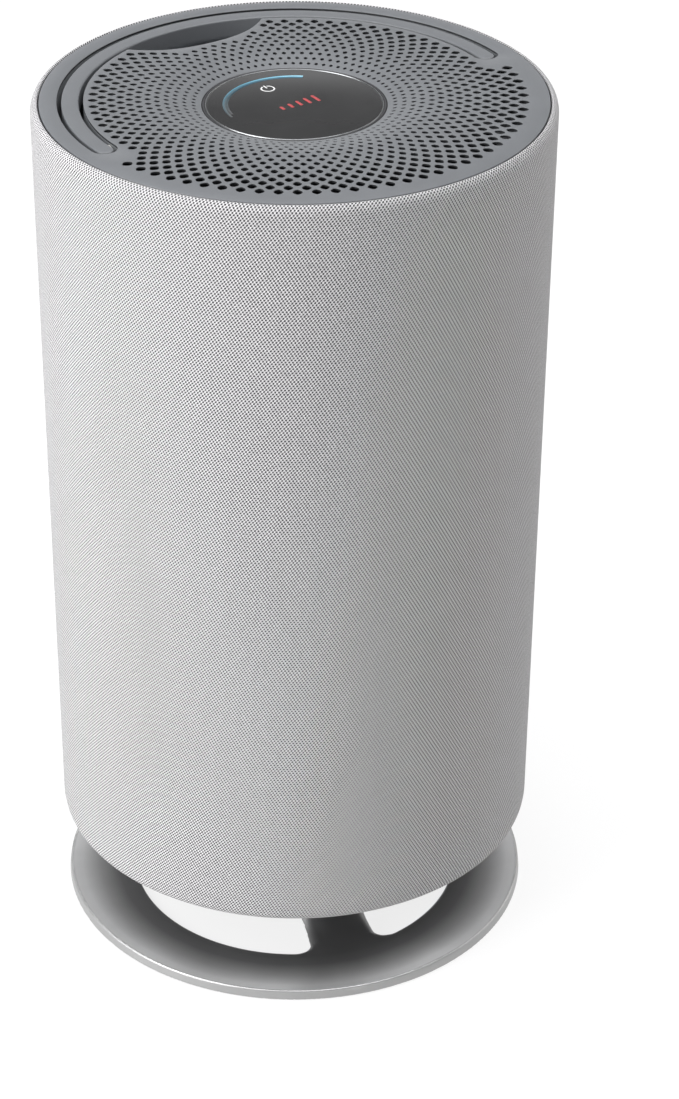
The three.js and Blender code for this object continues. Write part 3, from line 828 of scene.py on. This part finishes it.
# ================================================================ HANDLE WELL
def well():
    """Tray under the groove: drafted walls, a soft fillet into the floor."""
    zt, zf, rf = 633.3, 609.0, 7.0
    wall = offset(GROOVE, 0.15)
    m = len(wall)
    rows = []
    levels = [(zt, 0.0), (628.0, -0.1), (zf + rf, -0.35)]
    for i in range(1, 7):
        t = math.pi / 2 * i / 6
        levels.append((zf + rf * (1 - math.sin(t)), -0.35 - 2.2 * (1 - math.cos(t))))
    verts = []
    for z, d in levels:
        ring = offset(wall, d)
        rows.append(len(verts))
        verts += [(x, y, z) for x, y in ring]
    faces = []
    for j in range(len(rows) - 1):
        for i in range(m):
            i2 = (i + 1) % m
            faces.append((rows[j] + i, rows[j] + i2, rows[j + 1] + i2, rows[j + 1] + i))
    # floor
    base = rows[-1]
    ring = [Vector(verts[base + i][:2]) for i in range(m)]
    vo, eo, fo, ov, oe, of = delaunay_2d_cdt(ring, [(i, (i + 1) % m) for i in range(m)], [list(range(m))], 1, 1e-6)
    mp = {i: (base + src[0]) for i, src in enumerate(ov) if src}
    for f in fo:
        if all(i in mp for i in f):
            faces.append(tuple(mp[i] for i in f))
    # outer shell, 2.2 mm outside
    outer_levels = [(zt, 2.2), (zf - 2.4, 2.2)]
    orow = []
    for z, d in outer_levels:
        ring = offset(wall, d)
        orow.append(len(verts))
        verts += [(x, y, z) for x, y in ring]
    for i in range(m):
        i2 = (i + 1) % m
        faces.append((orow[0] + i, orow[1] + i, orow[1] + i2, orow[0] + i2))
        faces.append((rows[0] + i, orow[0] + i, orow[0] + i2, rows[0] + i2))
    ring = [Vector(verts[orow[1] + i][:2]) for i in range(m)]
    vo, eo, fo, ov, oe, of = delaunay_2d_cdt(ring, [(i, (i + 1) % m) for i in range(m)], [list(range(m))], 1, 1e-6)
    mp = {i: (orow[1] + src[0]) for i, src in enumerate(ov) if src}
    for f in fo:
        if all(i in mp for i in f):
            faces.append(tuple(mp[i] for i in f)[::-1])
    ob = make("handle_tray", verts, faces, sharp_deg=None)
    bm = bmesh.new()
    bm.from_mesh(ob.data)
    bmesh.ops.recalc_face_normals(bm, faces=bm.faces)
    bm.to_mesh(ob.data)
    bm.free()
    fix_out(ob)
    ob.data.set_sharp_from_angle(angle=math.radians(35))
    return ob


# the tray is a lighter copy of the top plastic: painted light in the recessed scoop
well_ob = dress(well(), "top_plastic", "housing", "handle_well", mat=plastic("tray_painted_light", (0.25, 0.262, 0.277), 0.5, 0.3))
# the channel under the handle bar gets a near-black colour: painted shade in the deep gap; the rest of the tray, with
# the finger scoop, keeps the lighter tray colour, which is painted light
well_ob.data.materials.append(plastic("groove_painted_shade", (0.020, 0.021, 0.023), 0.6, 0.3))
for poly in well_ob.data.polygons:
    pr = math.hypot(poly.center.x, poly.center.y) * 1000
    if abs(pr - HANDLE_R) < HANDLE_W / 2 + 1.6 and (poly.center.z < 0.6325 or poly.normal.z < 0.5):
        poly.material_index = 1


# ================================================================ CARRY HANDLE
def handle():
    """Half-ring bar with round ends; flat top with small edges, full round belly."""
    z0, z1 = 618.0, 634.7
    hw_full = HANDLE_W / 2 - 0.35
    yc = -14.6 + hw_full
    a0 = math.asin(yc / HANDLE_R)
    span = math.pi - 2 * a0
    stations = []
    ne = 12
    for i in range(ne + 1):                      # right end cap
        t = math.pi / 2 * (1 - i / ne)
        stations.append((a0, -hw_full * math.sin(t), hw_full * math.cos(t)))
    n = 150
    for i in range(1, n):
        stations.append((a0 + span * i / n, 0.0, hw_full))
    for i in range(ne + 1):
        t = math.pi / 2 * (i / ne)
        stations.append((a0 + span, hw_full * math.sin(t), hw_full * math.cos(t)))
    # section: inner side is rounded more than the outer side
    sec = []
    for (cu, cw, rad, b0, b1, k) in (
        (1, 1, 1.1, 0, 90, 5), (-1, 1, 1.3, 90, 180, 6), (-1, -1, 6.0, 180, 270, 9), (1, -1, 5.4, 270, 360, 9),
    ):
        for i in range(k + 1):
            b = math.radians(b0 + (b1 - b0) * i / k)
            sec.append((cu, cw, rad, math.cos(b), math.sin(b)))
    verts, uvs = [], []
    m = len(sec)
    hh = (z1 - z0) / 2
    zc = (z0 + z1) / 2
    for ang, shift, hw in stations:
        hw = max(hw, 0.02)
        ca, sa = math.cos(ang), math.sin(ang)
        tang = np.array([-sa, ca])
        for cu, cw, rad, cb, sb in sec:
            ru = min(rad, hw)
            e = 1.0 if hw >= hw_full - 1e-6 else (0.35 + 0.65 * math.sqrt(max(0.0, 1 - (shift / hw_full) ** 2)))
            u = cu * (hw - ru) + cb * ru
            top_drop = 0.0 if hw >= hw_full - 1e-6 else (1.2 if cw > 0 else 3.0) * (1 - math.sqrt(max(0.0, 1 - (shift / hw_full) ** 4)))
            w = cw * (hh - rad) + sb * rad - cw * top_drop
            p = (HANDLE_R + u) * np.array([ca, sa]) + tang * shift
            verts.append((p[0], p[1], zc + w))
    faces = []
    for j in range(len(stations) - 1):
        for i in range(m):
            i2 = (i + 1) % m
            faces.append((j * m + i, j * m + i2, (j + 1) * m + i2, (j + 1) * m + i))
    faces.append(tuple(range(m - 1, -1, -1)))
    last = (len(stations) - 1) * m
    faces.append(tuple(range(last, last + m)))
    ob = make("carry_bar", verts, faces, sharp_deg=None)
    bm = bmesh.new()
    bm.from_mesh(ob.data)
    bmesh.ops.remove_doubles(bm, verts=bm.verts, dist=1e-6)
    bmesh.ops.recalc_face_normals(bm, faces=bm.faces)
    bm.to_mesh(ob.data)
    bm.free()
    fix_out(ob)
    ob.data.set_sharp_from_angle(angle=math.radians(50))
    return ob


handle_ob = dress(handle(), "top_plastic", "handle", "carry_handle")

# ================================================================ PANEL
panel = lathe("panel_lens", [(0, 627.3), (59.5, 627.3), (59.6, 627.5), (59.6, 629.0), (59.45, 629.28), (59.1, 629.48), (58.7, 629.55), (0, 629.55)], 256, closed=False, sharp_deg=40)
dress(panel, "dark_glass", "housing", "panel_glass")
# a pale metal ring between lens and rim stands in for the highlight on the lens's chamfered edge: a painted highlight
ring_mat = metal("panel_edge_highlight", (0.42, 0.43, 0.44), 0.3)
bezel = lathe("panel_rim", [(60.35, 618), (62.3, 618), (62.3, 629.0), (62.0, 629.45), (61.4, 629.6), (60.9, 629.45), (60.55, 629.1), (60.35, 628.6)], 256, sharp_deg=60)
dress(bezel, "dark_plastic", "housing", "panel_bezel")
lens_edge_glint = lathe("panel_edge_highlight_ring", [(59.62, 627.4), (60.28, 627.4), (60.28, 629.5), (60.12, 629.62), (59.78, 629.62), (59.62, 629.5)], 256, sharp_deg=60)
dress(lens_edge_glint, "steel", "housing", mat=ring_mat)


def flat_strip(name, outline_rows, z, uvs):
    """Thin print on the lens, 0.05 mm proud."""
    verts, faces, uv = [], [], []
    m = len(outline_rows[0])
    for j, row in enumerate(outline_rows):
        for i, (x, y) in enumerate(row):
            verts.append((x, y, z))
            uv.append(uvs[j][i])
    for j in range(len(outline_rows) - 1):
        for i in range(m - 1):
            a = j * m + i
            faces.append((a, a + 1, a + m + 1, a + m))
    ob = make(name, verts, faces, uvs=uv, sharp_deg=None)
    mod = ob.modifiers.new("print_thickness", "SOLIDIFY")
    mod.thickness = 0.00004
    mod.offset = 1.0
    return ob


def arc_strip(name, r0, r1, a0, a1, n, z):
    rows = [arc(r1, a0, a1, n), arc(r0, a0, a1, n)]
    uvs = [[(i / n, 1) for i in range(n + 1)], [(i / n, 0) for i in range(n + 1)]]
    return flat_strip(name, rows, z, uvs)


Z_PRINT = 629.56
# brightness and colour run from the bright end (51 deg) to the faded end (177 deg)
line_stops = [(0.0, (0.30, 0.58, 0.70)), (0.15, (0.16, 0.38, 0.49)), (0.42, (0.055, 0.19, 0.26)), (0.72, (0.040, 0.085, 0.11)), (1.0, (0.040, 0.042, 0.043))]
halo_stops = [(0.0, (0.012, 0.10, 0.16)), (0.3, (0.012, 0.075, 0.12)), (0.7, (0.028, 0.052, 0.064)), (1.0, (0.040, 0.041, 0.042))]
line_ob = arc_strip("light_arc_line", 46.9, 48.5, 51, 177, 120, Z_PRINT)
dress(line_ob, "clear_plastic", "housing", mat=glow_material("light_line", line_stops, 0.55))
halo_ob = arc_strip("light_arc_halo", 44.6, 46.9, 51, 172, 120, Z_PRINT)
dress(halo_ob, "clear_plastic", "housing", mat=glow_material("light_halo", halo_stops, 0.25))

WHITE_INK = print_material("panel_ink_white", (0.80, 0.80, 0.80))
RED_INK = print_material("panel_ink_red", (0.44, 0.045, 0.05))


def power_icon():
    cx, cy = -1.9, 31.2
    gap = 40
    n = 60
    rows = [
        [(cx + 5.0 * math.cos(math.radians(90 + gap / 2 + (360 - gap) * i / n)), cy + 5.0 * math.sin(math.radians(90 + gap / 2 + (360 - gap) * i / n))) for i in range(n + 1)],
        [(cx + 4.0 * math.cos(math.radians(90 + gap / 2 + (360 - gap) * i / n)), cy + 4.0 * math.sin(math.radians(90 + gap / 2 + (360 - gap) * i / n))) for i in range(n + 1)],
    ]
    uvs = [[(i / n, 1) for i in range(n + 1)], [(i / n, 0) for i in range(n + 1)]]
    a = flat_strip("power_symbol_ring", rows[::-1], Z_PRINT, uvs)
    bar = [[(cx - 0.52, cy + 0.9), (cx - 0.52, cy + 5.8)], [(cx + 0.52, cy + 0.9), (cx + 0.52, cy + 5.8)]]
    b = flat_strip("power_symbol_bar", bar[::-1], Z_PRINT, [[(0, 0), (0, 1)], [(1, 0), (1, 1)]])
    return a, b


for o in power_icon():
    dress(o, "nylon", "housing", mat=WHITE_INK)


def level_bars():
    """Five rising bars with round ends, a plain air-level symbol."""
    obs = []
    for j in range(5):
        x, h, w = -12.5 + 7.0 * j, 3.4 + 1.35 * j, 1.15
        n = 10
        top = [(x + 1.5 + w * math.cos(t), -4.2 + h + w * math.sin(t)) for t in np.linspace(math.pi, 0, n + 1)]
        low = [(x + 1.5 + w * math.cos(t), -4.2 - w * math.sin(t)) for t in np.linspace(math.pi, 0, n + 1)]
        uvs = [[(i / n, 0) for i in range(n + 1)], [(i / n, 1) for i in range(n + 1)]]
        obs.append(flat_strip(f"air_level_{j + 1}", [low, top], Z_PRINT, uvs))
    return obs


for o in level_bars():
    dress(o, "dark_glass", "housing", mat=RED_INK)


# ================================================================ STAND
def smooth_max(a, b, k):
    h = np.maximum(k - np.abs(a - b), 0) / k
    return np.maximum(a, b) + h * h * k / 4


def smooth_min(a, b, k):
    return -smooth_max(-a, -b, k)


STAND_TOP = [(0, 60.2), (24, 60.2), (29, 59.6), (36, 56.6), (44, 51.6), (55, 43.6), (68, 33.2), (80, 24.4), (92, 16.6), (102, 11.0), (111, 7.2), (119, 4.9), (126, 3.95)] + [(r, 3.8 + 0.0028 * (r - 130) ** 2) for r in (132, 139, 146, 153, 160, 166, 172, 178, 190)]
STAND_LOW = [(0, 47.0), (24, 47.0), (31, 46.0), (44, 40.6), (55, 32.8), (68, 23.0), (80, 14.8), (92, 8.6), (102, 4.4), (111, 2.2), (119, 1.4), (128, 1.1), (150, 1.0), (190, 0.8)]


def hermite(table, x):
    t = np.array(table, float)
    xs, ys = t[:, 0], t[:, 1]
    d = np.diff(ys) / np.diff(xs)
    m = np.zeros(len(xs))
    m[1:-1] = (d[:-1] + d[1:]) / 2
    m[0], m[-1] = d[0], d[-1]
    m[np.concatenate([[False], d[:-1] * d[1:] <= 0, [False]])] = 0
    i = np.clip(np.searchsorted(xs, x) - 1, 0, len(xs) - 2)
    h = xs[i + 1] - xs[i]
    s = (x - xs[i]) / h
    return (2 * s**3 - 3 * s**2 + 1) * ys[i] + (s**3 - 2 * s**2 + s) * h * m[i] + (-2 * s**3 + 3 * s**2) * ys[i + 1] + (s**3 - s**2) * h * m[i + 1]


def stand_field(x, y, z):
    r = np.sqrt(x * x + y * y) + 1e-9
    plan = 121.5 - r
    drop = np.zeros_like(r)
    for deg in (-103, 17, 137):
        a = math.radians(deg)
        s = x * math.cos(a) + y * math.sin(a)
        t = -x * math.sin(a) + y * math.cos(a)
        hw = 24.5 + 2.2 * np.clip((r - 45) / 50, 0, 1)
        legp = np.maximum(np.abs(t) - hw, -s)
        w = np.clip((np.abs(t) - 6) / (hw - 6), 0, 1.3) * (s > 0) * (np.abs(t) < 40)
        drop = np.where((s > 0) & (np.abs(t) < 40), w ** 1.6, drop)
        plan = smooth_min(plan, legp, 15.0)
    plan = smooth_min(plan, r - 29.0, 6.0)
    fade = np.clip((118 - r) / 26, 0, 1) * np.clip((r - 30) / 14, 0, 1)
    fade = fade * fade * (3 - 2 * fade)
    zt = hermite(STAND_TOP, r) - 6.0 * drop * fade
    zl = hermite(STAND_LOW, r)
    st = (hermite(STAND_TOP, r + 0.5) - hermite(STAND_TOP, r - 0.5))
    sl = (hermite(STAND_LOW, r + 0.5) - hermite(STAND_LOW, r - 0.5))
    ft = (z - zt) / np.sqrt(1 + st * st)
    fl = (zl - z) / np.sqrt(1 + sl * sl)
    k = 3.2 + 6.0 * np.clip((121 - r) / 8, 0, 1)
    k = np.where(r < 40, 4.0, k)
    f = smooth_max(plan, ft, k)
    f = smooth_max(f, fl, 1.6)
    f = smooth_max(f, r - 173.0 + 0.12 * z, 1.3)
    return f


def surface_nets(field, lo, hi, step):
    """Closed surface of field = 0: one vertex per crossed cell, placed at its mean crossing, then pulled onto the surface."""
    ax = [np.arange(l, h + s, s) for l, h, s in zip(lo, hi, step)]
    X, Y, Z = np.meshgrid(*ax, indexing="ij")
    F = field(X, Y, Z)
    S = F < 0
    nx, ny, nz = F.shape
    acc = np.zeros((nx - 1, ny - 1, nz - 1, 3))
    cnt = np.zeros((nx - 1, ny - 1, nz - 1))
    for axis in range(3):
        sl0 = [slice(None)] * 3
        sl1 = [slice(None)] * 3
        sl0[axis] = slice(0, -1)
        sl1[axis] = slice(1, None)
        A, B = F[tuple(sl0)], F[tuple(sl1)]
        cross = (A < 0) != (B < 0)
        t = np.where(cross, A / np.where(cross, A - B, 1), 0)
        pos = [np.broadcast_to(g[tuple(sl0)], A.shape).astype(float) for g in (X, Y, Z)]
        pos[axis] = pos[axis] + t * step[axis]
        P = np.stack(pos, -1) * cross[..., None]
        o1, o2 = [a for a in range(3) if a != axis]
        for d1 in (0, 1):
            for d2 in (0, 1):
                src = [slice(None)] * 3
                src[axis] = slice(0, None)
                src[o1] = slice(d1, P.shape[o1] - 1 + d1)
                src[o2] = slice(d2, P.shape[o2] - 1 + d2)
                acc += P[tuple(src)]
                cnt += cross[tuple(src)]
    cell = cnt > 0
    idx = -np.ones(cell.shape, int)
    idx[cell] = np.arange(cell.sum())
    V = acc[cell] / cnt[cell][:, None]
    faces = []
    for axis in range(3):
        o1, o2 = [(1, 2), (2, 0), (0, 1)][axis]
        sl0 = [slice(None)] * 3
        sl1 = [slice(None)] * 3
        sl0[axis] = slice(0, -1)
        sl1[axis] = slice(1, None)
        A, B = S[tuple(sl0)], S[tuple(sl1)]
        cr = np.argwhere(A != B)
        cr = cr[(cr[:, o1] > 0) & (cr[:, o2] > 0) & (cr[:, o1] < F.shape[o1] - 1) & (cr[:, o2] < F.shape[o2] - 1)]
        e1 = np.zeros(3, int); e1[o1] = 1
        e2 = np.zeros(3, int); e2[o2] = 1
        q = [idx[tuple((cr - o).T)] for o in (e1 + e2, e2, np.zeros(3, int), e1)]
        fwd = A[tuple(cr.T)]
        quad = np.stack(q, 1)
        quad[~fwd] = quad[~fwd][:, ::-1]
        faces.append(quad)
    faces = np.vstack(faces)
    eps = 0.15

    def grad(P):
        g = np.stack([
            field(P[:, 0] + eps, P[:, 1], P[:, 2]) - field(P[:, 0] - eps, P[:, 1], P[:, 2]),
            field(P[:, 0], P[:, 1] + eps, P[:, 2]) - field(P[:, 0], P[:, 1] - eps, P[:, 2]),
            field(P[:, 0], P[:, 1], P[:, 2] + eps) - field(P[:, 0], P[:, 1], P[:, 2] - eps),
        ], 1) / (2 * eps)
        return g

    for _ in range(4):
        g = grad(V)
        gg = (g * g).sum(1)
        d = np.clip(field(V[:, 0], V[:, 1], V[:, 2]) / np.maximum(gg, 0.2), -0.6, 0.6)
        V = V - g * d[:, None]
    g = grad(V)
    N = g / (np.linalg.norm(g, axis=1)[:, None] + 1e-9)
    return V, faces, N


def stand():
    V, Fc, N = surface_nets(stand_field, (-175.2, -175.2, -0.4), (175.2, 175.2, 62.4), (1.6, 1.6, 1.0))
    ob = make("ring_stand", V, Fc, sharp_deg=None)
    fix_out(ob)
    ob.data.normals_split_custom_set_from_vertices([tuple(n) for n in N])
    return ob


stand_ob = dress(stand(), "cast_aluminium", "base", "stand")
foot = lathe("foot_band", [(150.4, 0.5), (151, 0.0), (162, 0.0), (162.6, 0.5), (162.6, 2.0), (150.4, 2.0)], 240, sharp_deg=60)
dress(foot, "rubber", "base", "foot_ring")

# ================================================================ UNDERSIDE
cover = lathe("filter_door", [(0, 60.5), (6, 60.5), (34, 60.5), (36, 61.3), (118, 61.3), (120, 60.5), (138.6, 60.5), (139.7, 60.9), (140, 61.9), (140, 63.6), (134.2, 63.6), (134.2, 74), (131.2, 74), (131.2, 64.4), (0, 64.4)], 240, closed=False, sharp_deg=30)
dress(cover, "cover_plastic", "base", "filter_cover")

# ================================================================ STAGE
def stage():
    me = bpy.data.meshes.new("floor")
    s = 9.0
    me.from_pydata([(-s, -s, 0), (s, -s, 0), (s, s, 0), (-s, s, 0)], [], [(0, 1, 2, 3)])
    ob = bpy.data.objects.new("floor", me)
    bpy.context.scene.collection.objects.link(ob)
    m = Mat("floor_paint")
    n = m.noise(m.obj(), 3.0, 3.0)
    m.color(m.ramp(n, [(0.3, (0.155, 0.155, 0.155)), (0.7, (0.165, 0.165, 0.165))]))
    m.set(Roughness=0.8, Specular_IOR_Level=0.1)
    m.b.inputs["Emission Color"].default_value = (1, 1, 1, 1)
    m.b.inputs["Emission Strength"].default_value = 0.80
    me.materials.append(m.m)


stage()


def area_light(name, loc, target, size, power, color=(1, 1, 1)):
    d = bpy.data.lights.new(name, "AREA")
    d.shape = "RECTANGLE"
    d.size, d.size_y = size
    d.energy = power
    d.color = color
    o = bpy.data.objects.new(name, d)
    o.location = loc
    o.rotation_euler = (Vector(target) - Vector(loc)).to_track_quat("-Z", "Y").to_euler()
    bpy.context.scene.collection.objects.link(o)
    return o


# camera-frame directions: right = (cos -32, sin -32), forward = (0.53, 0.848)
F = Vector((math.sin(math.radians(32)), math.cos(math.radians(32)), 0))
Rt = Vector((math.cos(math.radians(-32)), math.sin(math.radians(-32)), 0))
def around(deg, dist, z):
    """A place round the object, by the angle from the camera's right-hand side."""
    t = math.radians(deg)
    return tuple(Rt * dist * math.cos(t) + F * dist * math.sin(t) + Vector((0, 0, z)))


area_light("key_left", around(-150, 2.3, 1.15), (0, 0, 0.35), (1.9, 2.2), 92)
area_light("rim_right", around(28, 2.1, 0.9), (0, 0, 0.3), (0.8, 1.7), 7, (1.0, 0.96, 0.92))

world = bpy.data.worlds.new("studio")
bpy.context.scene.world = world
world.use_nodes = True
wt = world.node_tree
coord = wt.nodes.new("ShaderNodeTexCoord")
split = wt.nodes.new("ShaderNodeSeparateXYZ")
wt.links.new(coord.outputs["Generated"], split.inputs[0])
overhead = wt.nodes.new("ShaderNodeMapRange")
overhead.interpolation_type = "SMOOTHSTEP"
for i, x in enumerate((0.70, 0.90, 0.14, 3.5)):
    overhead.inputs[i + 1].default_value = x
wt.links.new(split.outputs[2], overhead.inputs[0])
# a bright low band behind the object, as a white studio wall gives
facing = wt.nodes.new("ShaderNodeVectorMath")
facing.operation = "DOT_PRODUCT"
facing.inputs[1].default_value = (math.cos(math.radians(68 - 32)) * 0.999, math.sin(math.radians(68 - 32)) * 0.999, 0)
wt.links.new(coord.outputs["Generated"], facing.inputs[0])
sideways = wt.nodes.new("ShaderNodeMapRange")
sideways.interpolation_type = "SMOOTHSTEP"
for i, x in enumerate((0.05, 0.65, 0.0, 1.0)):
    sideways.inputs[i + 1].default_value = x
wt.links.new(facing.outputs["Value"], sideways.inputs[0])
low_band = wt.nodes.new("ShaderNodeMapRange")
low_band.interpolation_type = "SMOOTHSTEP"
for i, x in enumerate((0.16, 0.36, 1.0, 0.0)):
    low_band.inputs[i + 1].default_value = x
wt.links.new(split.outputs[2], low_band.inputs[0])
band_mul = wt.nodes.new("ShaderNodeMath")
band_mul.operation = "MULTIPLY"
wt.links.new(sideways.outputs[0], band_mul.inputs[0])
wt.links.new(low_band.outputs[0], band_mul.inputs[1])
band_add = wt.nodes.new("ShaderNodeMath")
band_add.operation = "ADD"
wt.links.new(overhead.outputs[0], band_add.inputs[0])
wt.links.new(band_mul.outputs[0], band_add.inputs[1])
wt.links.new(band_add.outputs[0], wt.nodes["Background"].inputs[1])
wt.nodes["Background"].inputs[0].default_value = (0.985, 0.99, 1.0, 1)

cam_data = bpy.data.cameras.new("camera")
cam_data.sensor_fit = "AUTO"
cam_data.sensor_width = 36.0
cam_data.lens = 105.69
cam_data.shift_x = 45.05 / 1099
cam_data.shift_y = 0.0
cam_data.clip_end = 100
cam = bpy.data.objects.new("camera", cam_data)
cam.location = (-1.0692, -1.7110, 1.48839)
cam.rotation_mode = "XYZ"
cam.rotation_euler = (math.radians(90 - 30.9288), 0, math.radians(-32))
bpy.context.scene.collection.objects.link(cam)
bpy.context.scene.camera = cam

sc = bpy.context.scene
sc.view_settings.view_transform = "Standard"
sc.view_settings.look = "None"
sc.view_settings.exposure = 0.0
sc.view_settings.gamma = 1.0
